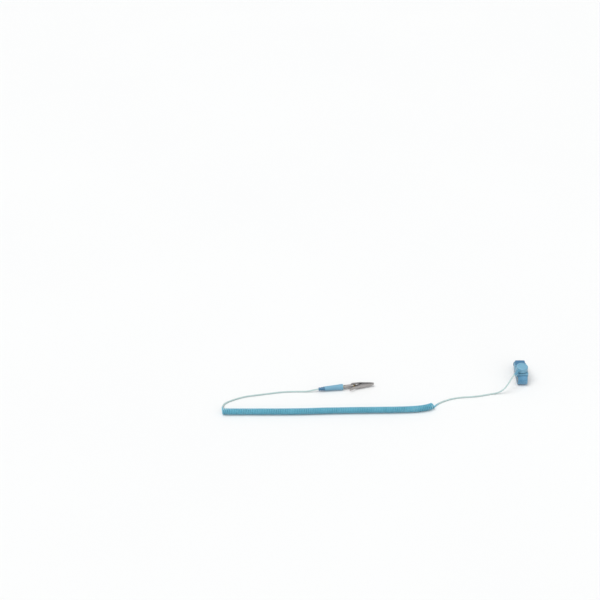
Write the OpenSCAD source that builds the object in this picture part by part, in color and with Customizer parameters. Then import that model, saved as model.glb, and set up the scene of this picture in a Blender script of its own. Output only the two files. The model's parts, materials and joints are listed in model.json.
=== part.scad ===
// Wrist strap for static control: an adjustable elastic band with a press stud, and a curly
// cord with a snap head at one end and a banana plug with an alligator clip at the other.
// Millimetres. The origin is on the surface that the band stands on, under the middle of the
// band. +Z is up, +Y runs along the flattened loop, X is the way through the loop.

/* [Band] */
// Width of the elastic band
band_w = 16; // [14:0.5:17]
// Thickness of the elastic
band_t = 1.2; // [1:0.1:1.3]
// Thickness of the conductive lining inside the loop
lining_t = 0.4; // [0.2:0.1:0.4]
// Length of the flattened loop, outside
loop_len = 50; // [48:1:56]
// Height of the flattened loop, outside
loop_h = 15; // [14:0.5:16]
// Gap between the band and the tail that doubles back over it
tail_gap = 0.3; // [0.2:0.1:0.4]

/* [Buckle] */
// Width across the buckle's side walls
buckle_w = 19; // [18.8:0.1:20]
// Length of the buckle along the band
buckle_len = 34; // [34:0.5:36]
// Thickness of a side wall
wall = 1.2; // [1:0.1:1.3]
// Radius of the steel pin that the clasp lever turns on
pin_r = 0.75; // [0.6:0.05:0.8]
// Radial clearance of the lever on its pin
pin_play = 0.06; // [0.02:0.01:0.1]
// Radius of the bar that the band doubles back round
bar_r = 0.8; // [0.6:0.05:0.8]

/* [Snap] */
// Radius of the press stud's head
stud_r = 3.4; // [3.2:0.05:3.4]
// Radius of the press stud's neck
neck_r = 2.9; // [2.6:0.05:3]
// Diameter of the cord's snap head
head_d = 19; // [18.5:0.5:19]
// Height of the snap head
head_h = 8.5; // [8.4:0.1:9]

/* [Cord] */
// Diameter of the cord's jacket
wire_d = 2.4; // [2:0.1:2.6]
// Outer diameter of the coil
coil_d = 10.4; // [9:0.1:11]

/* [Plug] */
// Radius of the plug's sleeve at its mouth
sleeve_r = 4.75; // [4.5:0.05:4.8]
// Length of the plug from the boot's end to the sleeve's mouth
plug_len = 40; // [40:0.5:42]
// Radius of the plug's solid core
core_r = 1.25; // [1.1:0.05:1.3]
// Largest radius of the plug's spring cage
cage_r = 1.95; // [1.9:0.01:1.97]

/* [Clip] */
// Width of the alligator clip across its fixed jaw
clip_w = 6.8; // [6.6:0.1:7.6]
// Thickness of the clip's sheet steel
sheet = 0.7; // [0.65:0.05:0.75]
// Length of the clip from the socket's mouth to the tips
clip_len = 49.5; // [49:0.5:52]

/* [Hidden] */

eps = 0.01;
blue = [0.20, 0.52, 0.72];
deep_blue = [0.13, 0.38, 0.60];
steel = [0.72, 0.72, 0.73];
dark_steel = [0.42, 0.41, 0.40];

// band: a flattened loop whose outline lies in the YZ plane
loop_y = -1;                                  // middle of the loop; the tail makes up the rest
bend_y = (loop_len - loop_h) / 2;             // from the middle to a bend's centre
bend_z = loop_h / 2;
band_r = (loop_h - band_t) / 2;               // bend radius on the elastic's middle line
top_z = loop_h - band_t / 2;                  // middle line of the elastic along the top
tail_r = band_r + band_t + tail_gap;          // the tail's bend, outside the band's
tip_t = 1.9;
tip_r = tail_r - band_t / 2 - 0.2;            // inside radius of the end tip

// buckle
stud_y = -7;
buckle_y0 = stud_y - 11;
buckle_y1 = buckle_y0 + buckle_len;
slab_t = 0.8;
slab_z = loop_h - band_t - lining_t - 0.1 - slab_t;   // underside of the buckle's floor
plate_t = 0.5;
plate_z = slab_z - plate_t;
plate_y0 = stud_y - 8;
plate_y1 = stud_y + 17;
roof_z = loop_h + 0.4;
roof_t = 2.2;
deck_z = roof_z + roof_t;                     // top of the buckle, where the stud stands
roof_y1 = stud_y + 9.6;
pin_y = stud_y + 11.6;
pin_z = deck_z + 0.5;
knuckle_r = 1.3;
bar_y = pin_y + 4;
turn_r = bar_r + band_t / 2 + 0.05;           // the band's turn round the bar
bar_z = top_z + turn_r;
fold_z = bar_z + turn_r;                      // middle line of the tail above the bar
lever_y1 = buckle_y1 + 2;
lever_t = 1.3;
lever_w = buckle_w - 2 * wall - 0.8;

// snap
rivet_r = 1;
rivet_head_t = 0.6;
flange_t = 0.6;
stud_top = deck_z + 4.2;
head_r = head_d / 2;
head_z = deck_z + 0.9;                        // underside of the snap head
head_top = head_z + head_h;
shell_t = 1.2;
cavity_r = head_r - shell_t;
split_z = head_z + 2.1;                       // where the cover meets the base
socket_r = 4.9;
spring_wire = 0.35;
spring_r = stud_r + 0.05 + spring_wire;       // middle line of the ring spring
spring_z = deck_z + 2;
exit_z = head_z + 5.4;                        // height of the cord where it leaves the head
exit_turn = atan2(-4, -3);                    // the way the cord leaves, seen from above
relief_r0 = 2.6;
relief_neck_r = 1.5;                          // where it goes through the head's wall
relief_r1 = 1.7;
relief_x1 = 25;                               // end of the strain relief, from the stud's axis

// cord
wire_r = wire_d / 2;
coil_r = coil_d / 2;
coil_z = coil_r;
sides = 8;
coil_sides = 12;
lie = 1.2;                                    // height of the cord's middle line on the floor
head_route = [[-15, -27, 23.9], [-18, -31, 23.7], [-21.5, -35.5, 21.3], [-26, -40, 16],
    [-31, -43.5, 10], [-37, -45.5, 5.2], [-45, -46.8, 2.2], [-54, -48.2, lie],
    [-64, -51, lie], [-75, -53.8, lie], [-87, -55.6, lie], [-99, -56.6, lie],
    [-110, -58.6, lie], [-121, -62, lie], [-131, -66.5, lie], [-138.5, -71.4, lie],
    [-143.8, -76, lie], [-148, -81, lie]];
coil_route = [[-148, -81, 5.2], [-157, -86.4, 5.2], [-168, -89.8, 5.2], [-182, -91.8, 5.2],
    [-205, -93.2, 5.2], [-240, -94, 5.2], [-280, -94.7, 5.2], [-320, -95.8, 5.2],
    [-360, -97.5, 5.2], [-400, -98, 5.2], [-440, -98, 5.2], [-483, -98, 5.2]];
plug_route = [[-484.5, -98, 9.2], [-484.8, -93, 8.6], [-485, -88, 6.4], [-485, -83, 3.4],
    [-484.4, -78, 1.5], [-482, -73, lie], [-477, -68.5, lie], [-469, -63.5, lie],
    [-459, -58.5, lie], [-448, -54.5, lie], [-436, -51.8, lie], [-424, -49.4, lie],
    [-412, -47, lie], [-400, -44.6, lie], [-388, -42.8, lie], [-376, -41.8, lie],
    [-364, -41.6, lie], [-354, -41.8, 1.4], [-346, -41.7, 2.6], [-339, -41.1, 4.2],
    [-332, -40, 4.75]];

// plug and clip: along their own X axis, from the end of the boot
plug_at = [-332, -40, 4.75];
plug_turn = 9;
boot_len = 12;
sleeve_x0 = 10;
shoulder_x = plug_len + 1;
core_tip = plug_len + 19.5;
cage_x0 = shoulder_x + 0.3;
cage_x1 = core_tip - 3;
leaves = 6;
clip_x0 = plug_len + 1.5;
clip_x1 = clip_x0 + clip_len;
socket_in = cage_r + 0.08;
socket_out = 2.7;
pivot = [plug_len + 22.5, 1];
pivot_r = 1;
tooth = 0.8;

// ---------- helpers ----------

function unit(v) = v / norm(v);

// points of an arc from angle a0 to angle a1
function arc(c, r, a0, a1, n = 12) =
    [for (i = [0:n]) c + r * [cos(a0 + (a1 - a0) * i / n), sin(a0 + (a1 - a0) * i / n)]];

// the way a path runs at its point i
function heading(p, i) = unit(p[min(i + 1, len(p) - 1)] - p[max(i - 1, 0)]);

// a path in the plane, moved sideways by d
function beside(p, d) =
    [for (i = [0:len(p) - 1]) let (h = heading(p, i)) p[i] + d * [-h[1], h[0]]];

function reversed(p) = [for (i = [len(p) - 1:-1:0]) p[i]];

// a strip of thickness t and width w whose middle line is a path in the YZ plane
module strip(path, t, w) {
    rotate([90, 0, 90])
        translate([0, 0, -w / 2])
            linear_extrude(w)
                polygon(concat(beside(path, t / 2), reversed(beside(path, -t / 2))));
}

// one point between p[i] and p[i + 1] on the smooth curve through the route's points
function between(p, i) =
    let (a = p[max(i - 1, 0)], b = p[i], c = p[i + 1], d = p[min(i + 2, len(p) - 1)])
    (9 * (b + c) - a - d) / 16;

function smooth(p) = concat([for (i = [0:len(p) - 2]) each [p[i], between(p, i)]], [p[len(p) - 1]]);

// a round tube along a path in space that never runs straight up
module tube(path, r, n) {
    last = len(path) - 1;
    points = [for (i = [0:last])
        let (t = heading(path, i), s = unit(cross(t, [0, 0, 1])), u = cross(s, t))
        each [for (k = [0:n - 1]) path[i] + r * (cos(k * 360 / n) * u + sin(k * 360 / n) * s)]];
    walls = [for (i = [0:last - 1], k = [0:n - 1])
        [i * n + k, i * n + (k + 1) % n, (i + 1) * n + (k + 1) % n, (i + 1) * n + k]];
    ends = [[for (k = [n - 1:-1:0]) k], [for (k = [0:n - 1]) last * n + k]];
    polyhedron(points, concat(walls, ends), convexity = 10);
}

module ring(r_out, r_in, h) {
    difference() {
        cylinder(r = r_out, h = h, $fn = 64);
        translate([0, 0, -1]) cylinder(r = r_in, h = h + 2, $fn = 64);
    }
}

// a flat slab with round corners, centred in X, from y0 to y1
module slab(w, y0, y1, z, t, r) {
    translate([0, 0, z])
        linear_extrude(t)
            union() {
                translate([-w / 2, y0 + r]) square([w, y1 - y0 - 2 * r]);
                translate([-w / 2 + r, y0]) square([w - 2 * r, y1 - y0]);
                for (x = [-1, 1], y = [y0 + r, y1 - r])
                    translate([x * (w / 2 - r), y]) circle(r, $fn = 32);
            }
}

// a rod across the band, in X
module cross_rod(r, l, y, z) {
    translate([-l / 2, y, z]) rotate([0, 90, 0]) cylinder(r = r, h = l, $fn = 48);
}

module at_stud(z) { translate([0, stud_y, z]) children(); }

// the hole that the stud's rivet goes through, from the middle of the loop upwards
module rivet_hole() { at_stud(loop_h / 2) cylinder(r = rivet_r + 0.03, h = 40, $fn = 48); }

// along the cord's way out of the head, from the stud's axis
module at_exit(x) {
    translate([0, stud_y, exit_z]) rotate([0, 0, exit_turn]) rotate([0, 90, 0])
        translate([0, 0, x]) children();
}

// the plug's own frame, with X along the plug
module at_plug() { translate(plug_at) rotate([0, 0, plug_turn]) children(); }

// turned parts of the plug, along its axis from x
module turned(x) { at_plug() translate([x, 0, 0]) rotate([0, 90, 0]) children(); }

// the clip's own frame: X along the plug, Z towards the thumb tab, which lies towards -Y
module at_clip() { at_plug() rotate([90, 0, 0]) children(); }

// a side outline, [x, z], drawn out to a width across the clip
module across(w) { rotate([90, 0, 0]) translate([0, 0, -w / 2]) linear_extrude(w) children(); }

// ---------- band ----------

front_bend = [loop_y - bend_y, bend_z];
rear_bend = [loop_y + bend_y, bend_z];

// once round the loop on a line that is d inside the elastic's middle line
function loop_path(d, y0, y1) = concat([[y0, top_z - d]],
    arc(front_bend, band_r - d, 90, 270, 20),
    arc(rear_bend, band_r - d, -90, 90, 20),
    [[y1, top_z - d]]);

module elastic_band() {
    path = concat(loop_path(0, stud_y + 7.5, bar_y),
        arc([bar_y, bar_z], turn_r, -100, -270, 10),
        arc(rear_bend, tail_r, 86, -12, 14));
    color(blue)
        difference() {
            strip(path, band_t, band_w);
            rivet_hole();
        }
}

module conductive_lining() {
    color("gainsboro")
        difference() {
            strip(loop_path((band_t + lining_t) / 2, stud_y + 7, bar_y - 1), lining_t, band_w - 1);
            rivet_hole();
        }
}

module band_end_tip() {
    color(deep_blue)
        difference() {
            strip(arc(rear_bend, tip_r + tip_t / 2, 16, -22, 10), tip_t, band_w + 1);
            strip(arc(rear_bend, tail_r, 40, -12, 14), band_t, band_w);
        }
}

module skin_plate() {
    color(steel)
        difference() {
            union() {
                slab(band_w - 1, plate_y0, plate_y1, plate_z, plate_t, 2);
                slab(band_w - 5, plate_y0 + 2, plate_y1 - 2, plate_z - 0.3, 0.4, 2);
            }
            rivet_hole();
        }
}

module buckle_body() {
    side_x = buckle_w / 2 - wall;
    color(blue)
        difference() {
            union() {
                slab(buckle_w, buckle_y0, buckle_y1, slab_z, deck_z - slab_z, 2.5);
                for (x = [-1, 1])
                    translate([x * (side_x + wall / 2) - wall / 2, pin_y, pin_z])
                        rotate([0, 90, 0]) cylinder(r = 1.9, h = wall, $fn = 48);
            }
            // the way through for the band, between the floor and the roof
            translate([-side_x, buckle_y0 - 1, slab_z + slab_t])
                cube([2 * side_x, buckle_len + 2, roof_z - slab_z - slab_t]);
            // the open bay of the lever
            translate([-side_x, roof_y1, slab_z + slab_t])
                cube([2 * side_x, buckle_len, 20]);
            // thumb notches beside the lever's free end
            for (x = [-1, 1])
                translate([x * buckle_w / 2, buckle_y1, deck_z])
                    rotate([0, 90, 0]) cylinder(r = 2.6, h = 4, center = true, $fn = 48);
            cross_rod(pin_r, 30, pin_y, pin_z);
            cross_rod(bar_r, 30, bar_y, bar_z);
            rivet_hole();
        }
}

module adjuster_bar() { color(steel) cross_rod(bar_r, buckle_w - 0.4, bar_y, bar_z); }

module clasp_pin() { color(steel) cross_rod(pin_r, buckle_w - 0.2, pin_y, pin_z); }

module stud_rivet() {
    color(steel)
        union() {
            at_stud(plate_z - 0.3 - rivet_head_t) cylinder(r1 = 1.9, r2 = 2.5, h = rivet_head_t, $fn = 48);
            at_stud(plate_z - 0.3 - eps) cylinder(r = rivet_r, h = stud_top - 0.3 - plate_z + 0.3, $fn = 48);
        }
}

module snap_stud() {
    color(steel)
        at_stud(deck_z)
            difference() {
                rotate_extrude($fn = 72)
                    union() {
                        square([4.7, flange_t]);
                        square([neck_r, 3]);
                        translate([0, 2.4]) square([stud_r, 0.9]);
                        translate([0, 2.4]) square([stud_r - 0.9, 1.8]);
                        intersection() {
                            translate([stud_r - 0.9, 3.3]) circle(0.9, $fn = 48);
                            translate([stud_r - 0.9, 3.3]) square(1);
                        }
                    }
                translate([0, 0, -1]) cylinder(r = rivet_r + 0.03, h = 10, $fn = 48);
            }
}

// ---------- clasp ----------

module clasp_lever() {
    lever_z = pin_z + knuckle_r - lever_t;
    color(deep_blue)
        difference() {
            union() {
                cross_rod(knuckle_r, lever_w, pin_y, pin_z);
                slab(lever_w, pin_y, lever_y1, lever_z, lever_t, 0.6);
                // upturned lip to lift it by
                translate([-lever_w / 2 + 2, lever_y1 - 0.6, lever_z + lever_t])
                    rotate([0, 90, 0]) cylinder(r = 0.6, h = lever_w - 4, $fn = 32);
                // ribs that press on the folded band
                for (y = [bar_y + 3:1.6:lever_y1 - 4])
                    translate([-lever_w / 2 + 1, y, lever_z])
                        rotate([0, 90, 0]) cylinder(r = 0.35, h = lever_w - 2, $fn = 24);
            }
            cross_rod(pin_r + pin_play, 30, pin_y, pin_z);
        }
}

// ---------- snap head ----------

module snap_spring() {
    color(steel)
        at_stud(spring_z)
            rotate([0, 0, 20])
                rotate_extrude(angle = 320, $fn = 72)
                    translate([spring_r, 0]) circle(spring_wire, $fn = 24);
}

module snap_socket() {
    color(steel)
        at_stud(head_z + 0.1)
            difference() {
                union() {
                    cylinder(r = socket_r, h = stud_top - head_z + 0.8, $fn = 72);
                    translate([0, 0, 1.4]) cylinder(r = 6.2, h = 0.5, $fn = 72);
                }
                translate([0, 0, -1]) cylinder(r = stud_r + 0.2, h = stud_top - head_z + 1.3, $fn = 72);
                // groove that the ring spring turns in
                translate([0, 0, spring_z - head_z - 0.1 - spring_wire - 0.1])
                    cylinder(r = spring_r + spring_wire + 0.1, h = 2 * spring_wire + 0.2, $fn = 72);
            }
}

module head_base() {
    color(blue)
        at_stud(head_z)
            difference() {
                union() {
                    cylinder(r1 = head_r - 0.6, r2 = head_r, h = 0.6, $fn = 96);
                    translate([0, 0, 0.6]) cylinder(r = head_r, h = 1.5, $fn = 96);
                    translate([0, 0, 2]) ring(cavity_r - 0.05, cavity_r - 0.9, 0.7);
                }
                translate([0, 0, -1]) cylinder(r = socket_r + 0.05, h = 10, $fn = 72);
                translate([0, 0, 1.5]) cylinder(r = cavity_r - 0.9, h = 5, $fn = 72);
            }
}

module head_cover() {
    round_r = 2.2;
    h = head_top - split_z;
    color(blue)
        difference() {
            at_stud(split_z)
                difference() {
                    rotate_extrude($fn = 96)
                        union() {
                            square([head_r, h - round_r]);
                            square([head_r - round_r, h]);
                            translate([head_r - round_r, h - round_r])
                                intersection() {
                                    circle(round_r, $fn = 64);
                                    square(round_r);
                                }
                        }
                    translate([0, 0, -1]) cylinder(r = cavity_r, h = h - shell_t + 1, $fn = 96);
                    // shallow dish on top
                    translate([0, 0, h - 0.4]) cylinder(r = head_r - 3.4, h = 1, $fn = 96);
                }
            at_exit(4) cylinder(r = relief_neck_r + 0.05, h = 10, $fn = 48);
        }
}

module safety_resistor() {
    color([0.80, 0.72, 0.55])
        at_exit(-2.6) {
            translate([0, 0, 0.6]) cylinder(r = 0.95, h = 4, $fn = 48);
            cylinder(r = 1.1, h = 1.2, $fn = 48);
            translate([0, 0, 4]) cylinder(r = 1.1, h = 1.2, $fn = 48);
        }
}

module resistor_wires() {
    color(steel) {
        // to the cord
        at_exit(2.6) cylinder(r = 0.25, h = 3.4, $fn = 24);
        // to the socket, with its foot bent down
        at_exit(-4.6) cylinder(r = 0.25, h = 2, $fn = 24);
        at_exit(-4.6) sphere(0.25, $fn = 24);
        translate([0, stud_y, exit_z])
            rotate([0, 0, exit_turn])
                translate([-4.6, 0, stud_top + 0.9 - exit_z])
                    cylinder(r = 0.25, h = exit_z - stud_top - 0.9, $fn = 24);
    }
}

module head_strain_relief() {
    outside = head_r + 0.2;
    grooves = 5;
    pitch = 2.6;
    color(blue)
        difference() {
            union() {
                at_exit(6) cylinder(r = 1.85, h = 1.4, $fn = 48);
                at_exit(6) cylinder(r = relief_neck_r, h = outside - 6 + 0.5, $fn = 48);
                at_exit(outside)
                    cylinder(r1 = relief_r0, r2 = relief_r1, h = relief_x1 - outside, $fn = 48);
            }
            for (i = [0:grooves - 1])
                at_exit(outside + 1.6 + i * pitch)
                    ring(4, 2.05 - i * 0.14, 0.9);
        }
}

// ---------- cord ----------

module head_lead() { color([0.62, 0.78, 0.82]) tube(smooth(head_route), wire_r, sides); }

module cord_coil() { color([0.25, 0.62, 0.72]) tube(coil_route, coil_r, coil_sides); }

module plug_lead() { color([0.62, 0.78, 0.82]) tube(smooth(plug_route), wire_r, sides); }

// ---------- plug ----------

module plug_boot() {
    color(deep_blue)
        union() {
            turned(0) cylinder(r1 = 1.9, r2 = 2.9, h = sleeve_x0, $fn = 48);
            turned(sleeve_x0 - eps) cylinder(r = 2.3, h = boot_len - sleeve_x0, $fn = 48);
            for (x = [0.6, 4.2, 7.8])
                turned(x) cylinder(r = 2.7 + x / 14, h = 1.5, $fn = 48);
        }
}

module plug_sleeve() {
    mouth = 6;
    ribs = 14;
    grip = plug_len - sleeve_x0 - mouth;
    taper = (sleeve_r - 0.25 - 3.5) / grip;
    color(blue)
        difference() {
            union() {
                turned(sleeve_x0)
                    cylinder(r1 = 3.5, r2 = sleeve_r - 0.25, h = grip, $fn = 72);
                turned(plug_len - mouth) cylinder(r = sleeve_r, h = mouth, $fn = 72);
            }
            turned(sleeve_x0 - 1) cylinder(r = 2.35, h = plug_len, $fn = 48);
            // finger grooves along the grip
            for (i = [0:ribs - 1])
                at_plug()
                    rotate([i * 360 / ribs, 0, 0])
                        translate([sleeve_x0 + 3, 0, 3.5 + 3 * taper + 0.25])
                            rotate([0, 90 - atan(taper), 0])
                                cylinder(r = 0.5, h = grip - 6, $fn = 16);
        }
}

module plug_core() {
    color("goldenrod")
        difference() {
            union() {
                turned(boot_len + 2) cylinder(r = 2.3, h = plug_len - boot_len - 2, $fn = 48);
                turned(plug_len) cylinder(r = 2, h = 1, $fn = 48);
                turned(plug_len) cylinder(r = core_r, h = core_tip - plug_len - 1, $fn = 48);
                turned(cage_x1 + 0.2) cylinder(r = 1.65, h = core_tip - cage_x1 - 1.2, $fn = 48);
                turned(core_tip - 1 - eps) cylinder(r1 = 1.65, r2 = 0.8, h = 1, $fn = 48);
            }
            // socket for the cord's conductor
            turned(boot_len) cylinder(r = 0.8, h = 12, $fn = 32);
            // tapped hole of the clamp screw
            at_plug() translate([boot_len + 7, 0, 0]) cylinder(r = 0.9, h = 5, $fn = 32);
        }
}

module clamp_screw() {
    color(steel)
        at_plug()
            translate([boot_len + 7, 0, 0.8])
                difference() {
                    cylinder(r = 0.87, h = 1.3, $fn = 32);
                    translate([-1, -0.15, 0.9]) cube([2, 0.3, 1]);
                }
}

module plug_cage() {
    end_len = 1.6;
    collar_r = core_r + 0.4;
    span = cage_x1 - cage_x0;
    swell = cage_r - collar_r;
    steps = 10;
    // the sheet swells outwards between its two collars
    outline = [for (i = [0:steps]) [collar_r + swell * sin(180 * i / steps), span * i / steps]];
    color(steel)
        turned(cage_x0)
            difference() {
                rotate_extrude($fn = 72) polygon(concat([[0, 0]], outline, [[0, span]]));
                translate([0, 0, -1]) cylinder(r = core_r + 0.06, h = span + 2, $fn = 48);
                for (i = [0:leaves - 1])
                    rotate([0, 0, i * 360 / leaves])
                        translate([0, -0.3, end_len]) cube([4, 0.6, span - 2 * end_len]);
            }
}

// ---------- clip ----------

// a row of teeth from x0 to x1 along the closing line, pointing up (s = 1) or down (s = -1)
function teeth(x0, x1, z, s) =
    let (n = floor((x1 - x0) / (2 * tooth)))
    [for (i = [0:n - 1]) each [[x0 + i * 2 * tooth, z - s * tooth], [x0 + (i + 0.5) * 2 * tooth, z]]];

// the jaws' outline from above narrows towards the tips
module jaw_plan(inset) {
    half = clip_w / 2 - inset;
    tip_half = clip_w / 4 - inset;
    translate([0, 0, -20])
        linear_extrude(40)
            polygon([[clip_x0, -half], [pivot[0] + 5, -half], [clip_x1 + 1, -tip_half],
                [clip_x1 + 1, tip_half], [pivot[0] + 5, half], [clip_x0, half]]);
}

module clip_fixed_jaw() {
    side = concat([[clip_x1, -0.15], [clip_x1, -1], [clip_x1 - 8, -2.3], [clip_x1 - 20, -3.4],
        [pivot[0] - 4, -3.7], [pivot[0] - 8, -3], [pivot[0] - 9, -1.2], [pivot[0] - 2, 1],
        [pivot[0] + 3, 0], [pivot[0] + 7, -1.2]],
        teeth(clip_x1 - 20, clip_x1 - 1, -0.15, 1));
    color(dark_steel)
        at_clip()
            difference() {
                union() {
                    difference() {
                        intersection() {
                            across(clip_w)
                                union() {
                                    polygon(side);
                                    translate(pivot) circle(2.6, $fn = 48);
                                }
                            jaw_plan(0);
                        }
                        intersection() {
                            translate([0, 0, sheet])
                                across(clip_w)
                                    union() {
                                        polygon(side);
                                        translate([pivot[0] - 9, -0.8]) square([40, 10]);
                                    }
                            jaw_plan(sheet);
                        }
                    }
                    // socket that takes the plug
                    translate([clip_x0, 0, 0]) rotate([0, 90, 0])
                        cylinder(r = socket_out, h = pivot[0] - 5.5 - clip_x0, $fn = 64);
                    // flare at the mouth
                    translate([clip_x0, 0, 0]) rotate([0, 90, 0])
                        cylinder(r1 = socket_out + 0.5, r2 = socket_out, h = 1.2, $fn = 64);
                }
                translate([clip_x0 - 1, 0, 0]) rotate([0, 90, 0])
                    cylinder(r = socket_in, h = pivot[0] - 6.5 - clip_x0 + 2, $fn = 64);
                translate([pivot[0], 0, pivot[1]]) rotate([90, 0, 0])
                    cylinder(r = pivot_r, h = 30, center = true, $fn = 48);
            }
}

module clip_moving_jaw() {
    ear_w = clip_w - 2 * sheet - 0.6;
    front = concat([[pivot[0] + 7, 1.1]], teeth(clip_x1 - 20, clip_x1 - 1, 0.15, -1),
        [[clip_x1, 0.15], [clip_x1, 1], [clip_x1 - 8, 2.4], [clip_x1 - 19, 3.8],
        [pivot[0] + 5, 4.4], [pivot[0] + 5, 2.2]]);
    back = [[pivot[0] + 9, 2.2], [pivot[0] + 9, 3.9], [pivot[0] + 5, 4.4], [pivot[0], 5],
        [pivot[0] - 3, 5.6], [pivot[0] - 3, 4.8], [pivot[0] - 2, 2.6], [pivot[0] + 2, 1]];
    tab = [[pivot[0] + 1, 5], [pivot[0] - 4, 6], [pivot[0] - 9, 8.1], [pivot[0] - 13, 9.9],
        [pivot[0] - 13, 9.1], [pivot[0] - 9, 7.3], [pivot[0] - 4, 5.2], [pivot[0] + 1, 4.2]];
    color(dark_steel)
        at_clip()
            difference() {
                union() {
                    difference() {
                        intersection() {
                            across(clip_w) polygon(front);
                            jaw_plan(0);
                        }
                        intersection() {
                            translate([0, 0, -sheet])
                                across(clip_w)
                                    union() {
                                        polygon(front);
                                        translate([pivot[0] + 4, -2]) square([22, 3.2]);
                                    }
                            jaw_plan(sheet);
                        }
                    }
                    difference() {
                        across(ear_w)
                            union() {
                                polygon(back);
                                translate(pivot) circle(2.4, $fn = 48);
                            }
                        translate([pivot[0] - 12, -ear_w / 2 + sheet, -6])
                            cube([30, ear_w - 2 * sheet, 9.8]);
                    }
                    across(ear_w) polygon(tab);
                }
                translate([pivot[0], 0, pivot[1]]) rotate([90, 0, 0])
                    cylinder(r = pivot_r + 0.06, h = 30, center = true, $fn = 48);
            }
}

module clip_rivet() {
    head_t = 0.4;
    color(steel)
        at_clip()
            translate([pivot[0], 0, pivot[1]])
                rotate([90, 0, 0])
                    union() {
                        cylinder(r = pivot_r, h = clip_w + head_t, center = true, $fn = 48);
                        for (s = [0, 180])
                            rotate([s, 0, 0])
                                translate([0, 0, clip_w / 2])
                                    cylinder(r1 = 1.8, r2 = 1.3, h = head_t, $fn = 48);
                    }
}

module clip_spring() {
    wire = 0.35;
    turn = 1.6;
    turns = 4;
    step = 0.66;
    color(steel)
        at_clip()
            translate([pivot[0], 0, pivot[1]])
                rotate([90, 0, 0])
                    union() {
                        translate([0, 0, -(turns - 1) * step / 2])
                            for (i = [0:turns - 1])
                                translate([0, 0, i * step])
                                    rotate_extrude($fn = 48) translate([turn, 0]) circle(wire, $fn = 24);
                        for (s = [-1, 1])
                            translate([0, s * turn, s * (turns - 1) * step / 2])
                                rotate([0, 90, s * 4]) cylinder(r = wire, h = 6, $fn = 24);
                    }
}

elastic_band();
conductive_lining();
skin_plate();
buckle_body();
adjuster_bar();
clasp_pin();
snap_stud();
stud_rivet();
band_end_tip();
clasp_lever();
snap_spring();
head_cover();
head_base();
snap_socket();
safety_resistor();
resistor_wires();
head_strain_relief();
head_lead();
cord_coil();
plug_lead();
plug_boot();
plug_sleeve();
plug_core();
clamp_screw();
plug_cage();
clip_fixed_jaw();
clip_rivet();
clip_spring();
clip_moving_jaw();
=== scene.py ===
"""Looks of an anti-static wrist strap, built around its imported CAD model. Metres, in the CAD's frame."""

import json
import math

import bpy
import numpy as np
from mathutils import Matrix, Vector


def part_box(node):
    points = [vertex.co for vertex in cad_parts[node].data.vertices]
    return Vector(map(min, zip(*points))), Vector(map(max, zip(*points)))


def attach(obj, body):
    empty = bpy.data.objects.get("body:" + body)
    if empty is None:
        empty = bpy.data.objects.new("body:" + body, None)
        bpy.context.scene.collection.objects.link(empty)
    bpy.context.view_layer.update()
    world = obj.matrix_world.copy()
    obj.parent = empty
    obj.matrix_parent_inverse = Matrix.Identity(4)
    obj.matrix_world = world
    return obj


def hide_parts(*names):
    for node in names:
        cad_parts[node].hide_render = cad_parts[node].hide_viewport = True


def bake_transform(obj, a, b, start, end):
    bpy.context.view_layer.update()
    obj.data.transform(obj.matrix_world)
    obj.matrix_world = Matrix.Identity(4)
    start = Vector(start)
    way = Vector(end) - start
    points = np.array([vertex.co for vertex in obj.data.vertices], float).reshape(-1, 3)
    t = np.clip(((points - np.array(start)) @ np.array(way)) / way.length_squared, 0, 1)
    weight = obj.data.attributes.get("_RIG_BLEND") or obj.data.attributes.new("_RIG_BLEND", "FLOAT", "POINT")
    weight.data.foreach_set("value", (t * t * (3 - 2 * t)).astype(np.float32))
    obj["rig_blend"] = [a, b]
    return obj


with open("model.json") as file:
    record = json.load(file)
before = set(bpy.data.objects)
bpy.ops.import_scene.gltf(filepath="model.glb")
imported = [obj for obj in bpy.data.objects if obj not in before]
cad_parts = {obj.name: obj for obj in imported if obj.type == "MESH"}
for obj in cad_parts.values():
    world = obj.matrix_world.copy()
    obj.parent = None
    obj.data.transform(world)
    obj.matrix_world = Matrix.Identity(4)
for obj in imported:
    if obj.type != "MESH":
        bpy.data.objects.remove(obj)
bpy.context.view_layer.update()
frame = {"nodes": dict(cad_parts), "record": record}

MM = 0.001
scene = bpy.context.scene


# ---------- camera ----------

CAMERA_AT = (-0.36203, -1.76998, 1.3456)
CAMERA_DOWN = 34       # degrees below the level
LENS = 81              # millimetres, on a sensor 36 wide


def make_camera():
    """Looks along +Y and downwards, from well back, as a catalogue picture does."""
    data = bpy.data.cameras.new("camera")
    data.lens = LENS
    data.sensor_width = 36
    data.clip_start = 0.05
    data.clip_end = 30
    camera = bpy.data.objects.new("camera", data)
    camera.location = CAMERA_AT
    camera.rotation_euler = (math.radians(90 - CAMERA_DOWN), 0, 0)
    scene.collection.objects.link(camera)
    scene.camera = camera


make_camera()


# ---------- meshes ----------

def smooth_object(name, points, faces, uvs=None):
    """A smooth-shaded mesh object. uvs has one (u, v) for each corner of each face."""
    mesh = bpy.data.meshes.new(name)
    mesh.from_pydata([tuple(p) for p in points], [], faces)
    if uvs is not None:
        layer = mesh.uv_layers.new(name="UVMap")
        layer.data.foreach_set("uv", np.array(uvs, np.float32).ravel())
    mesh.polygons.foreach_set("use_smooth", [True] * len(mesh.polygons))
    mesh.update()
    made = bpy.data.objects.new(name, mesh)
    scene.collection.objects.link(made)
    return made


def grid_faces(rows, around, closed_ends=True):
    """Faces of a tube with a closed section: rows of so many points each."""
    faces = []
    for i in range(rows - 1):
        for k in range(around):
            n = (k + 1) % around
            faces.append((i * around + k, i * around + n, (i + 1) * around + n, (i + 1) * around + k))
    if closed_ends:
        faces.append(tuple(range(around - 1, -1, -1)))
        faces.append(tuple((rows - 1) * around + k for k in range(around)))
    return faces


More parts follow.
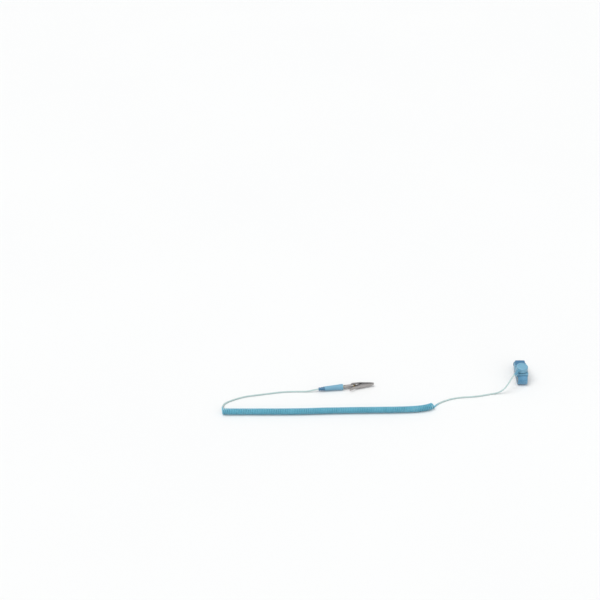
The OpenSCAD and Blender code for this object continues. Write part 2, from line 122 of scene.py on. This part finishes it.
def grid_uvs(along, across, closed_ends=True):
    """(u, v) of each corner of grid_faces: u is along the tube and v round its section, in metres."""
    uvs = []
    around = len(across) - 1
    for i in range(len(along) - 1):
        for k in range(around):
            uvs += [(along[i], across[k]), (along[i], across[k + 1])]
            uvs += [(along[i + 1], across[k + 1]), (along[i + 1], across[k])]
    if closed_ends:
        uvs += [(along[0], 0)] * around + [(along[-1], 0)] * around
    return uvs


def lengths(points):
    """Distance along a line of points, at each point."""
    steps = np.linalg.norm(np.diff(points, axis=0), axis=1)
    return np.concatenate([[0], np.cumsum(steps)])


def curve_through(points, per_span=12):
    """A smooth line through the points (Catmull-Rom)."""
    p = np.array(points, float)
    p = np.vstack([2 * p[0] - p[1], p, 2 * p[-1] - p[-2]])
    line = []
    for i in range(1, len(p) - 2):
        for t in np.arange(per_span) / per_span:
            a, b, c, d = p[i - 1], p[i], p[i + 1], p[i + 2]
            line.append(0.5 * (2 * b + (c - a) * t + (2 * a - 5 * b + 4 * c - d) * t**2
                               + (3 * b - a - 3 * c + d) * t**3))
    line.append(p[-2])
    return np.array(line)


def at_length(line, along, where):
    """Points of a line at the given distances along it."""
    return np.stack([np.interp(where, along, line[:, k]) for k in range(line.shape[1])], axis=1)


def unit_steps(line):
    """The way a line of points runs, at each point."""
    ahead = np.gradient(line, axis=0)
    return ahead / np.linalg.norm(ahead, axis=1)[:, None]


def make_tube(name, line, radius, sides, share=None):
    """A round tube along a line, with its ring kept from twisting. Its UVs are metres along and round it.

    share, if given, is the part of the radius that each ring has.
    """
    a = np.array((0.3, 0.2, 0.9))
    angles = 2 * math.pi * np.arange(sides) / sides
    radii = radius * (np.ones(len(line)) if share is None else share)
    points = []
    for place, ahead, r in zip(line, unit_steps(line), radii):
        a = a - (a @ ahead) * ahead
        a /= np.linalg.norm(a)
        b = np.cross(ahead, a)
        points += [place + r * (math.cos(t) * a + math.sin(t) * b) for t in angles]
    across = 2 * math.pi * radius * np.arange(sides + 1) / sides
    return smooth_object(name, points, grid_faces(len(line), sides), grid_uvs(lengths(line), across))


# ---------- cord ----------

WIRE_D = 2.4 * MM
COIL_R = 4.0 * MM      # from the coil's axis to the middle of the wire
COIL_TURNS = 120.5     # from the floor at the head's end to the top at the plug's end
SIDES = 12
PER_TURN = 24
JOIN = 3               # points of each lead that the coil's wire runs on over
COIL_FULL = 1.01       # share of the wire's radius that the coil has
COIL_THIN = 0.96       # the same at its two ends, which lie inside the leads

HEAD_ROUTE = [
    (-15, -27, 23.9), (-18, -31, 23.7), (-21.5, -35.5, 21.3), (-26, -40, 16),
    (-31, -43.5, 10), (-37, -45.5, 5.2), (-45, -46.8, 2.2), (-54, -48.2, 1.2),
    (-64, -51, 1.2), (-75, -53.8, 1.2), (-87, -55.6, 1.2), (-99, -56.6, 1.2),
    (-110, -58.6, 1.2), (-121, -62, 1.2), (-131, -66.5, 1.2), (-138.5, -71.4, 1.2),
    (-143.8, -76, 1.2), (-148, -81, 1.2)]
COIL_ROUTE = [
    (-148, -81, 5.2), (-157, -86.4, 5.2), (-168, -89.8, 5.2), (-182, -91.8, 5.2),
    (-205, -93.2, 5.2), (-240, -94, 5.2), (-280, -94.7, 5.2), (-320, -95.8, 5.2),
    (-360, -97.5, 5.2), (-400, -98, 5.2), (-440, -98, 5.2), (-483, -98, 5.2)]
COIL_END = (-484.5, -98, 5.2)    # past the coil's solid, under the plug lead's start
PLUG_ROUTE = [
    (-484.5, -98, 9.2), (-484.8, -93, 8.6), (-485, -88, 6.4), (-485, -83, 3.4),
    (-484.4, -78, 1.5), (-482, -73, 1.2), (-477, -68.5, 1.2), (-469, -63.5, 1.2),
    (-459, -58.5, 1.2), (-448, -54.5, 1.2), (-436, -51.8, 1.2), (-424, -49.4, 1.2),
    (-412, -47, 1.2), (-400, -44.6, 1.2), (-388, -42.8, 1.2), (-376, -41.8, 1.2),
    (-364, -41.6, 1.2), (-354, -41.8, 1.4), (-346, -41.7, 2.6), (-339, -41.1, 4.2),
    (-332, -40, 4.75)]
HEAD_INSIDE = (-13.8, -25.4, 23.9)     # where the cord starts, inside the strain relief
PLUG_INSIDE = (-330, -39.68, 4.75)     # where it ends, inside the boot


def metres(route):
    return np.array(route, float) * MM


def make_lead(name, node, body, route):
    """A straight stretch of the cord, as a tube along the route, and its middle line."""
    line = curve_through(route, 6)
    made = make_tube(name, line, WIRE_D / 2, SIDES)
    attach(made, body)
    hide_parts(node)
    return made, line


def coil_line():
    """The wire's middle line: from the floor it opens into the turns, and it ends on top of the last."""
    route = curve_through(metres(COIL_ROUTE[:-1] + [COIL_END]))
    along = lengths(route)
    turn = np.arange(round(COIL_TURNS * PER_TURN) + 1) / PER_TURN
    # the first and last turns are drawn out: by how much, and over how many turns
    first_open, first_span = 16, 0.09
    last_open, last_span = 0.3, 1.5
    pitch = 1 + first_open * np.exp(-turn / first_span)
    pitch += last_open * np.exp((turn - COIL_TURNS) / last_span)
    # the pitch wavers a little, in two slow waves
    pitch += 0.035 * np.sin(0.37 * turn) + 0.025 * np.sin(1.13 * turn + 1)
    place = np.concatenate([[0], np.cumsum((pitch[1:] + pitch[:-1]) / 2)])
    place *= along[-1] / place[-1]
    centre = at_length(route, along, place)
    ahead = at_length(unit_steps(route), along, place)
    side = np.cross(ahead, (0, 0, 1))
    side /= np.linalg.norm(side, axis=1)[:, None]
    angle = math.pi / 2 + 2 * math.pi * (COIL_TURNS - turn)
    out = np.cos(angle)[:, None] * side + np.sin(angle)[:, None] * np.array((0, 0, 1))
    return centre + COIL_R * out


def make_coil(head_path, plug_path):
    """The coil's wire, which runs on over the ends of both leads so that the joins don't show."""
    line = np.vstack([head_path[-JOIN - 1:-1], coil_line(), plug_path[1:JOIN + 1]])
    # the ends sink into the leads, and the rest is a little thicker than the leads
    share = np.full(len(line), COIL_FULL)
    share[:JOIN + 1] = np.linspace(COIL_THIN, COIL_FULL, JOIN + 1)
    share[-JOIN - 1:] = np.linspace(COIL_FULL, COIL_THIN, JOIN + 1)
    made = make_tube("coil_cord", line, WIRE_D / 2, SIDES, share)
    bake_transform(made, "cord", "plug_end", start=metres(COIL_ROUTE[0]), end=metres(COIL_END))
    # each ring of the wire moves as one, so that the wire stays round when the coil is drawn out
    weights = made.data.attributes["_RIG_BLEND"]
    values = np.zeros(len(made.data.vertices), np.float32)
    weights.data.foreach_get("value", values)
    values = np.repeat(values.reshape(-1, SIDES).mean(1), SIDES)
    weights.data.foreach_set("value", values.astype(np.float32))
    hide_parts("cord_coil")
    return made, line


head_route = metres([HEAD_INSIDE] + HEAD_ROUTE)
plug_route = metres(PLUG_ROUTE + [PLUG_INSIDE])
head_lead, head_path = make_lead("head_lead_cord", "head_lead", "cord", head_route)
plug_lead, plug_path = make_lead("plug_lead_cord", "plug_lead", "plug_end", plug_route)
coil, coil_path = make_coil(head_path, plug_path)


# ---------- band ----------

def arc(centre, radius, start, end, step=3):
    """Points (y, z) of an arc, about one every so many degrees."""
    n = max(2, int(abs(end - start) / step))
    angles = np.radians(np.linspace(start, end, n + 1))
    return [(centre[0] + radius * math.cos(a), centre[1] + radius * math.sin(a)) for a in angles]


def filled(path, step=0.6 * MM):
    """The path with points added along its straight stretches."""
    out = [np.array(path[0])]
    for a, b in zip(path[:-1], path[1:]):
        a, b = np.array(a), np.array(b)
        n = max(1, int(np.linalg.norm(b - a) / step))
        out += [a + (b - a) * i / n for i in range(1, n + 1)]
    return np.array(out)


elastic_lo, elastic_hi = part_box("elastic_band")
lining_lo, lining_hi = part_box("conductive_lining")
bar_lo, bar_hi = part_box("adjuster_bar")
stud_lo, stud_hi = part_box("snap_stud")

BAND_W = elastic_hi.x - elastic_lo.x
BAND_T = lining_lo.z - elastic_lo.z
LINING_W = BAND_W - 1 * MM
LINING_T = 0.4 * MM
TAIL_GAP = 0.3 * MM     # between the loop and the tail that doubles back outside it
BAR_GAP = 0.05 * MM     # between the adjuster bar and the elastic round it
RIBS, GROOVE = 14, 0.09 * MM
LINING_RIBS, LINING_GROOVE = 20, 0.05 * MM
inner_r = (lining_hi.z - lining_lo.z) / 2
loop_z = (lining_hi.z + lining_lo.z) / 2
front_bend = (lining_lo.y + inner_r, loop_z)
rear_bend = (lining_hi.y - inner_r, loop_z)
band_r = inner_r + BAND_T / 2
bar = ((bar_lo.y + bar_hi.y) / 2, (bar_lo.z + bar_hi.z) / 2)
turn_r = (bar_hi.z - bar_lo.z) / 2 + BAND_T / 2 + BAR_GAP
tail_r = band_r + BAND_T + TAIL_GAP
stud_y = (stud_lo.y + stud_hi.y) / 2
elastic_start = stud_y + 7.5 * MM      # both start under the buckle, behind the stud
lining_start = stud_y + 7 * MM
lining_end = bar[0] - 1 * MM           # and the lining ends short of the adjuster bar


def loop_path(inside, first_y, last_y):
    """Once round the loop, on a line that is so far inside the elastic's middle line."""
    r = band_r - inside
    top = loop_z + r
    return [(first_y, top)] + arc(front_bend, r, 90, 270) + arc(rear_bend, r, -90, 90) + [(last_y, top)]


def normals(path):
    """Unit vectors (y, z) across a path, towards the loop's inside."""
    ahead = np.gradient(path, axis=0)
    ahead /= np.linalg.norm(ahead, axis=1)[:, None]
    return np.stack([-ahead[:, 1], ahead[:, 0]], axis=1)


def strip_section(width, thick, ribs, groove, edge=6):
    """Closed section (x, offset) of a ribbed strip with round edges, and its distance across."""
    half, r = width / 2, thick / 2
    n = ribs * 6
    xs = np.linspace(-half + r, half - r, n + 1)
    depth = groove * (0.5 - 0.5 * np.cos(2 * math.pi * ribs * np.arange(n + 1) / n))
    lower = r - groove + depth
    turn = np.radians(np.linspace(0, 180, edge + 2)[1:-1])
    right = [(half - r + (r - groove) * math.sin(a), (r - groove) * math.cos(a)) for a in turn]
    left = [(-half + r - (r - groove) * math.sin(a), -(r - groove) * math.cos(a)) for a in turn]
    section = [*zip(xs, lower), *right, *zip(xs[::-1], -lower[::-1]), *left]
    return np.array(section)


def make_strip(name, path, width, thick, ribs, groove):
    """A woven strip along a path in the YZ plane, and its length. Its UVs are metres, along and across."""
    path = filled(path)
    along = lengths(path)
    section = strip_section(width, thick, ribs, groove)
    yz = path[:, None] + section[None, :, 1:] * normals(path)[:, None]
    x = np.broadcast_to(section[None, :, :1], yz.shape[:2] + (1,))
    points = np.concatenate([x, yz], axis=2).reshape(-1, 3)
    closed = np.vstack([section, section[:1]])
    made = smooth_object(name, points, grid_faces(len(path), len(section)),
                         grid_uvs(along, closed[:, 0]))
    return made, float(along[-1])


def make_stitches(name, path, rows, proud, pitch=2.2 * MM, long=1.5 * MM, thread=0.16 * MM):
    """Rows of small arched stitches along a path: rows has each one's x and its face's offset."""
    path = filled(path)
    side = normals(path)
    along = lengths(path)
    count = int(along[-1] / pitch)
    steps, around = 6, 6
    points, faces = [], []
    for x, face in rows:
        for i in range(count):
            s = (i + 0.5) * pitch + np.linspace(-long / 2, long / 2, steps)
            centre = at_length(path, along, s)
            out = at_length(side, along, s) * math.copysign(1, face)
            lift = abs(face) + (proud + thread) * np.sin(np.linspace(0, math.pi, steps)) - thread
            middle = centre + lift[:, None] * out
            first = len(points)
            for m, o in zip(middle, out):
                for k in range(around):
                    a = 2 * math.pi * k / around
                    yz = m + thread * math.sin(a) * o
                    points.append((x + thread * math.cos(a), yz[0], yz[1]))
            faces += [tuple(first + v for v in f) for f in grid_faces(steps, around)]
    return smooth_object(name, points, faces)


# once round the loop, back round the adjuster bar, and on outside the rear bend as the tail
elastic_path = (loop_path(0, elastic_start, bar[0]) + arc(bar, turn_r, -100, -270, 9)
                + arc(rear_bend, tail_r, 86, -12))
elastic, elastic_length = make_strip("elastic_webbing", elastic_path, BAND_W, BAND_T, RIBS, GROOVE)
lining_path = loop_path((BAND_T + LINING_T) / 2, lining_start, lining_end)
lining, lining_length = make_strip("lining_knit", lining_path, LINING_W, LINING_T,
                                   LINING_RIBS, LINING_GROOVE)
seam_x = BAND_W / 2 - 1.3 * MM
seam_face = BAND_T / 2 + LINING_T
stitches = make_stitches("lining_stitches", loop_path(0, lining_start, lining_end),
                         [(-seam_x, seam_face), (seam_x, seam_face)], 0.05 * MM)
for piece, node, slot in ((elastic, "elastic_band", "elastic"), (lining, "conductive_lining", "lining")):
    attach(piece, "band")
    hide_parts(node)
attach(stitches, "band")


# ---------- clip spring ----------

CLIP_TURN = 9          # degrees from +X to the way that the clip points
SPRING_WIRE = 0.35 * MM


def clip_spring_line():
    """The torsion spring's middle line: a close coil round the rivet, with a leg out to the jaws."""
    rivet_lo, rivet_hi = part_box("clip_rivet")
    centre = np.array((rivet_lo + rivet_hi) / 2)
    radius, turns, leg = 1.6 * MM, 3, 5 * MM
    pitch = 2.1 * SPRING_WIRE
    forward = np.array((math.cos(math.radians(CLIP_TURN)), math.sin(math.radians(CLIP_TURN)), 0))
    sideways = np.array((forward[1], -forward[0], 0))
    turn = np.linspace(0, turns, turns * 24 + 1)
    angle = 2 * math.pi * turn
    rings = centre + radius * (np.sin(angle)[:, None] * forward - np.cos(angle)[:, None] * sideways)
    rings += ((turn - turns / 2) * pitch)[:, None] * np.array((0, 0, 1))
    out = rings[-1] + np.linspace(0, leg, 8)[1:, None] * forward
    return np.vstack([out[::-1], rings[::-1]])


clip_spring = make_tube("clip_torsion_spring", clip_spring_line(), SPRING_WIRE, 10)
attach(clip_spring, "clip")
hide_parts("clip_spring")


# ---------- materials ----------

def add(tree, kind, inputs=None, **settings):
    """A node with its settings, and its inputs set to numbers or linked to other nodes' sockets."""
    made = tree.nodes.new(kind)
    for key, value in settings.items():
        setattr(made, key, value)
    for key, value in (inputs or {}).items():
        if isinstance(value, bpy.types.NodeSocket):
            tree.links.new(value, made.inputs[key])
        else:
            made.inputs[key].default_value = value
    return made


def maths(tree, operation, a, b=0.0, clamp=False):
    return add(tree, "ShaderNodeMath", {0: a, 1: b}, operation=operation, use_clamp=clamp).outputs[0]


def mix_colour(tree, share, a, b, how="MIX"):
    return add(tree, "ShaderNodeMix", {0: share, 6: a, 7: b}, data_type="RGBA", blend_type=how).outputs[2]


def spread_to(tree, value, low, high, to_low, to_high):
    """value, taken from the range low to high to the range to_low to to_high."""
    inputs = {"Value": value, "From Min": low, "From Max": high, "To Min": to_low, "To Max": to_high}
    return add(tree, "ShaderNodeMapRange", inputs).outputs[0]


def object_space(tree, scale=(1, 1, 1), turn=(0, 0, 0)):
    place = add(tree, "ShaderNodeTexCoord").outputs["Object"]
    return add(tree, "ShaderNodeMapping", {"Vector": place, "Scale": scale, "Rotation": turn}).outputs[0]


def noise(tree, where, size, detail=2.0, rough=0.5, distort=0.0):
    """Noise whose blobs are about size metres across, from 0 to 1."""
    inputs = {"Vector": where, "Scale": 1 / size, "Detail": detail, "Roughness": rough,
              "Distortion": distort}
    return add(tree, "ShaderNodeTexNoise", inputs).outputs[0]


def edges(tree, radius):
    """1 on outside and inside edges and 0 on open surfaces, and the normal with its edges rounded."""
    rounded = add(tree, "ShaderNodeBevel", {"Radius": radius}, samples=6).outputs[0]
    normal = add(tree, "ShaderNodeNewGeometry").outputs["Normal"]
    dot = add(tree, "ShaderNodeVectorMath", {0: rounded, 1: normal}, operation="DOT_PRODUCT")
    return spread_to(tree, dot.outputs["Value"], 0.995, 0.85, 0.0, 1.0), rounded


def colour(r, g, b):
    return (r, g, b, 1)


def shader_of(name, values):
    """A new material's node tree and its Principled shader, with these sockets set."""
    material = bpy.data.materials.new(name)
    material.use_nodes = True
    tree = material.node_tree
    shader = tree.nodes["Principled BSDF"]
    for socket, value in values.items():
        shader.inputs[socket].default_value = value
    return material, tree, shader


def link(tree, value, shader, socket):
    tree.links.new(value, shader.inputs[socket])


def bumped(tree, height, depth, normal=None, strength=1.0):
    inputs = {"Height": height, "Distance": depth, "Strength": strength}
    if normal is not None:
        inputs["Normal"] = normal
    return add(tree, "ShaderNodeBump", inputs).outputs[0]


def moulded(name, base, wear_and_highlight_tone, rough=(0.38, 0.5), grain=0.14 * MM, depth=0.008 * MM, round_r=0.25 * MM):
    """Satin moulded plastic: fine spark-eroded grain, a trace of flow mottling and lighter edges, partly
    rubbed wear and partly a painted highlight.
    """
    material, tree, shader = shader_of(name, {"IOR": 1.5, "Coat Weight": 0.06, "Coat Roughness": 0.3})
    where = object_space(tree)
    mottle = noise(tree, where, 7 * MM, 3, 0.55, 0.4)
    flow = noise(tree, object_space(tree, (1, 0.35, 1)), 1.6 * MM, 3)
    dark = tuple(0.93 * c for c in base[:3]) + (1,)
    body = mix_colour(tree, spread_to(tree, mottle, 0.3, 0.7, 0.0, 1.0), dark, base)
    body = mix_colour(tree, spread_to(tree, flow, 0.4, 0.7, 0.0, 0.08), body, wear_and_highlight_tone)
    # lighter edges, partly rubbed wear and partly a painted highlight where the edges catch the light
    edge, rounded = edges(tree, round_r)
    edge_wear_and_highlight = maths(tree, "MULTIPLY", edge, spread_to(tree, flow, 0.3, 0.7, 0.15, 0.7))
    link(tree, mix_colour(tree, edge_wear_and_highlight, body, wear_and_highlight_tone), shader, "Base Color")
    scuffs = noise(tree, where, 2.2 * MM, 5, 0.65)
    link(tree, spread_to(tree, scuffs, 0.3, 0.7, *rough), shader, "Roughness")
    pits = noise(tree, where, grain, 2, 0.6)
    link(tree, bumped(tree, pits, depth, rounded, 0.6), shader, "Normal")
    return material


def jacket(name, base, deep, pale, joins=(), join_colour=None):
    """Smooth cord jacket: slightly see-through plastic with a soft gloss, faint waves and scuffs.

    It takes on join_colour within 14 mm of each of the joins.
    """
    material, tree, shader = shader_of(name, {
        "IOR": 1.48, "Subsurface Weight": 0.1, "Subsurface Scale": 1.2 * MM,
        "Subsurface Radius": (0.5, 1.0, 1.2), "Coat Weight": 0.2, "Coat Roughness": 0.22})
    where = object_space(tree)
    tone = noise(tree, where, 16 * MM, 3, 0.6)
    fine = noise(tree, where, 0.7 * MM, 4, 0.6)
    body = mix_colour(tree, spread_to(tree, tone, 0.35, 0.65, 0.0, 0.6), base, deep)
    body = mix_colour(tree, spread_to(tree, fine, 0.6, 0.85, 0.0, 0.15), body, pale)
    for join in joins:
        away = add(tree, "ShaderNodeVectorMath", {0: where, 1: tuple(join)}, operation="DISTANCE")
        near = spread_to(tree, away.outputs["Value"], 2 * MM, 14 * MM, 1.0, 0.0)
        body = mix_colour(tree, near, body, join_colour)
    link(tree, body, shader, "Base Color")
    link(tree, spread_to(tree, fine, 0.3, 0.7, 0.28, 0.42), shader, "Roughness")
    waves = noise(tree, where, 0.5 * MM, 2)
    link(tree, bumped(tree, waves, 0.015 * MM, strength=0.5), shader, "Normal")
    return material


def knit_height(tree, rib, row):
    """Height of rows of V-shaped stitches from the UVs, and the place within each row, from 0 to 1."""
    uv = add(tree, "ShaderNodeTexCoord").outputs["UV"]
    parts = add(tree, "ShaderNodeSeparateXYZ", {"Vector": uv})
    along, across = parts.outputs[0], parts.outputs[1]
    column = maths(tree, "FRACT", maths(tree, "DIVIDE", across, rib))
    ridge = maths(tree, "MULTIPLY", maths(tree, "ABSOLUTE", maths(tree, "SUBTRACT", column, 0.5)), 2)
    slant = maths(tree, "ADD", maths(tree, "DIVIDE", along, row), maths(tree, "MULTIPLY", ridge, 0.8))
    beat = maths(tree, "FRACT", slant)
    thread = maths(tree, "ABSOLUTE", maths(tree, "SUBTRACT", beat, 0.5))
    thread = spread_to(tree, thread, 0.0, 0.5, 1.0, 0.0)
    valley = spread_to(tree, ridge, 0.6, 1.0, 1.0, 0.15)
    return maths(tree, "MULTIPLY", maths(tree, "POWER", thread, 0.6), valley), beat


def knitted(name, base, dark, light, rib, row, sheen=0.45):
    """Knitted elastic: ribs of V-shaped stitches, with painted shade in their grooves, uneven yarn and a
    soft sheen.
    """
    material, tree, shader = shader_of(name, {
        "Roughness": 0.86, "Sheen Weight": sheen, "Sheen Roughness": 0.45,
        "Sheen Tint": (0.75, 0.88, 1.0, 1), "Specular IOR Level": 0.25})
    height, _ = knit_height(tree, rib, row)
    where = object_space(tree)
    yarn = noise(tree, where, 0.5 * MM, 4, 0.7)
    wash = noise(tree, where, 9 * MM, 3, 0.6)
    # painted shade: the darker colour fills the grooves between stitches and the rib edges, the base colour
    # the stitch tops
    body = mix_colour(tree, height, dark, base)
    body = mix_colour(tree, spread_to(tree, yarn, 0.5, 0.75, 0.0, 0.55), body, light)
    body = mix_colour(tree, spread_to(tree, wash, 0.35, 0.7, 0.0, 0.3), body, light)
    link(tree, body, shader, "Base Color")
    fuzz = maths(tree, "ADD", height, maths(tree, "MULTIPLY", yarn, 0.5))
    link(tree, bumped(tree, fuzz, 0.09 * MM), shader, "Normal")
    return material


def silver_knit(name):
    """Grey knit with silvered threads in every stitch row, and painted shade in its grooves."""
    material, tree, shader = shader_of(name, {"Sheen Weight": 0.25, "Sheen Roughness": 0.5})
    height, beat = knit_height(tree, 0.75 * MM, 0.55 * MM)
    where = object_space(tree)
    yarn = noise(tree, where, 0.35 * MM, 4, 0.7)
    silver = maths(tree, "MULTIPLY", spread_to(tree, beat, 0.25, 0.5, 0.0, 1.0),
                   spread_to(tree, yarn, 0.4, 0.6, 0.2, 1.0), True)
    # painted shade: darker grey in the grooves, lighter grey on the stitch tops
    painted_shade_grey = mix_colour(tree, height, colour(0.22, 0.24, 0.27), colour(0.52, 0.55, 0.58))
    link(tree, mix_colour(tree, silver, painted_shade_grey, colour(0.78, 0.78, 0.76)), shader, "Base Color")
    link(tree, maths(tree, "MULTIPLY", silver, 0.85), shader, "Metallic")
    link(tree, spread_to(tree, silver, 0.0, 1.0, 0.85, 0.42), shader, "Roughness")
    link(tree, bumped(tree, height, 0.06 * MM), shader, "Normal")
    return material


def metal(name, base, stain, rough, stretch=(1, 1, 1), streak=0.3 * MM, depth=0.004 * MM, stained=0.35):
    """Metal with fine lines along the axis that stretch makes long, faint stains and brighter edges, partly
    rubbed wear and partly a painted highlight.
    """
    material, tree, shader = shader_of(name, {"Metallic": 1.0})
    lines = noise(tree, object_space(tree, stretch), streak, 3, 0.6)
    cloud = noise(tree, object_space(tree), 2.6 * MM, 5, 0.6, 0.8)
    edge, rounded = edges(tree, 0.2 * MM)
    body = mix_colour(tree, spread_to(tree, cloud, 0.42, 0.72, 0.0, stained), base, stain)
    # brighter edges, partly rubbed wear and partly a painted highlight
    worn_and_highlit_edge = tuple(min(1.0, 1.25 * c) for c in base[:3]) + (1,)
    link(tree, mix_colour(tree, maths(tree, "MULTIPLY", edge, 0.6), body, worn_and_highlit_edge), shader, "Base Color")
    both = maths(tree, "ADD", maths(tree, "MULTIPLY", lines, 0.6), maths(tree, "MULTIPLY", cloud, 0.4))
    link(tree, spread_to(tree, both, 0.3, 0.7, *rough), shader, "Roughness")
    link(tree, bumped(tree, lines, depth, rounded, 0.8), shader, "Normal")
    return material


def resistor_coat(name):
    """Lacquered resistor body with colour bands, from one end to the other."""
    material, tree, shader = shader_of(name, {"Roughness": 0.35, "Coat Weight": 0.3})
    lo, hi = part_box("safety_resistor")
    parts = add(tree, "ShaderNodeSeparateXYZ", {"Vector": object_space(tree)})
    along = spread_to(tree, parts.outputs[0], lo.x, hi.x, 0.0, 1.0)
    ramp = add(tree, "ShaderNodeValToRGB", {"Fac": along})
    ramp.color_ramp.interpolation = "CONSTANT"
    tan = colour(0.62, 0.50, 0.32)
    bands = [(0.2, (0.16, 0.06, 0.02)), (0.36, (0.01, 0.01, 0.01)), (0.52, (0.03, 0.25, 0.06)),
             (0.72, (0.6, 0.42, 0.1))]
    ramp.color_ramp.elements[0].color = tan
    ramp.color_ramp.elements[1].position = 0.95
    ramp.color_ramp.elements[1].color = tan
    for start, band in bands:
        ramp.color_ramp.elements.new(start).color = colour(*band)
        ramp.color_ramp.elements.new(start + 0.08).color = tan
    speck = noise(tree, object_space(tree), 0.3 * MM, 3)
    pale = spread_to(tree, speck, 0.4, 0.7, 0.0, 0.2)
    body = mix_colour(tree, pale, ramp.outputs[0], colour(0.8, 0.7, 0.5))
    link(tree, body, shader, "Base Color")
    link(tree, bumped(tree, speck, 0.02 * MM), shader, "Normal")
    return material


SKY = colour(0.19, 0.42, 0.57)
DEEP = colour(0.06, 0.19, 0.34)
TEAL = colour(0.14, 0.46, 0.60)
MATERIALS = {
    # the elastic's second colour is the painted shade in the knit's grooves
    "elastic": knitted("knitted_elastic", colour(0.12, 0.35, 0.54), colour(0.035, 0.13, 0.25),
                       colour(0.30, 0.52, 0.68), 1.05 * MM, 0.7 * MM),
    "lining": silver_knit("silver_knit"),
    "stainless": metal("brushed_stainless", colour(0.62, 0.62, 0.61), colour(0.48, 0.47, 0.45),
                       (0.22, 0.38), (1, 0.03, 1)),
    "nickel": metal("nickel_plate", colour(0.70, 0.68, 0.64), colour(0.56, 0.53, 0.46), (0.12, 0.26)),
    "spring_steel": metal("spring_steel", colour(0.60, 0.60, 0.60), colour(0.42, 0.41, 0.40),
                          (0.18, 0.34), (1, 1, 0.1)),
    # each plastic's second colour lightens its edges, partly rubbed wear and partly a painted highlight, and
    # faintly tints its flow marks
    "blue_plastic": moulded("sky_plastic", SKY, colour(0.34, 0.56, 0.70)),
    "deep_blue_plastic": moulded("deep_plastic", DEEP, colour(0.16, 0.34, 0.50)),
    "blue_soft_plastic": moulded("soft_plastic", colour(0.13, 0.35, 0.50), colour(0.28, 0.50, 0.64),
                                 (0.5, 0.66), 0.25 * MM, 0.015 * MM),
    "cord_jacket": jacket("coil_jacket", TEAL, colour(0.10, 0.39, 0.52), colour(0.36, 0.62, 0.70)),
    "lead_jacket": jacket("lead_jacket", colour(0.50, 0.63, 0.61), colour(0.43, 0.57, 0.56),
                          colour(0.64, 0.72, 0.70), (head_path[-1], plug_path[0]), TEAL),
    "resistor_coat": resistor_coat("resistor_coat"),
    "tinned_wire": metal("tinned_wire", colour(0.66, 0.66, 0.65), colour(0.5, 0.5, 0.5), (0.3, 0.45)),
    "brass_core": metal("brass_core", colour(0.72, 0.52, 0.24), colour(0.50, 0.34, 0.14), (0.2, 0.36),
                        (1, 0.1, 1)),
    "clip_steel": metal("dull_clip_steel", colour(0.44, 0.42, 0.41), colour(0.26, 0.24, 0.23),
                        (0.24, 0.44), (0.3, 1, 1), 0.5 * MM, 0.008 * MM, 0.6),
}


def paint(piece, slot):
    piece.data.materials.clear()
    piece.data.materials.append(MATERIALS[slot])


node_slots = {s["node"]: s["material_slot"] for s in frame["record"]["subparts"]}
for node, piece in frame["nodes"].items():
    paint(piece, node_slots[node])
for piece, slot in ((elastic, "elastic"), (stitches, "elastic"), (lining, "lining"),
                    (clip_spring, "spring_steel"), (coil, "cord_jacket"),
                    (head_lead, "lead_jacket"), (plug_lead, "lead_jacket")):
    paint(piece, slot)


# ---------- floor and light ----------

FLOOR_HALF = 60        # metres, so that its far edge is out of sight


def make_floor():
    corners = [(x * FLOOR_HALF, y * FLOOR_HALF, 0) for x, y in ((-1, -1), (1, -1), (1, 1), (-1, 1))]
    mesh = bpy.data.meshes.new("floor")
    mesh.from_pydata(corners, [], [(0, 1, 2, 3)])
    floor = bpy.data.objects.new("floor", mesh)
    scene.collection.objects.link(floor)
    material, tree, shader = shader_of("floor_paper", {"Roughness": 0.9, "Specular IOR Level": 0.1})
    soft = noise(tree, object_space(tree), 0.4, 2)
    pale = mix_colour(tree, soft, colour(0.86, 0.86, 0.86), colour(0.88, 0.88, 0.875))
    link(tree, pale, shader, "Base Color")
    floor.data.materials.append(material)


def far_light(name, towards, soft, power, tint):
    """A broad light from far away: towards points at it, and soft is its width in degrees."""
    data = bpy.data.lights.new(name, "SUN")
    data.angle = math.radians(soft)
    data.energy = power
    data.color = tint
    lamp = bpy.data.objects.new(name, data)
    lamp.rotation_euler = Vector(towards).to_track_quat("Z", "Y").to_euler()
    scene.collection.objects.link(lamp)


def make_light():
    far_light("key", (-0.35, -0.05, 1.0), 45, 1.7, (1.0, 0.99, 0.97))
    far_light("fill", (0.6, -0.9, 0.8), 70, 0.5, (0.96, 0.98, 1.0))
    world = bpy.data.worlds.new("studio")
    world.use_nodes = True
    backdrop = world.node_tree.nodes["Background"]
    backdrop.inputs["Color"].default_value = (0.96, 0.98, 1.0, 1)
    backdrop.inputs["Strength"].default_value = 0.55
    scene.world = world
    scene.view_settings.view_transform = "Standard"


make_floor()
make_light()

bpy.context.view_layer.update()
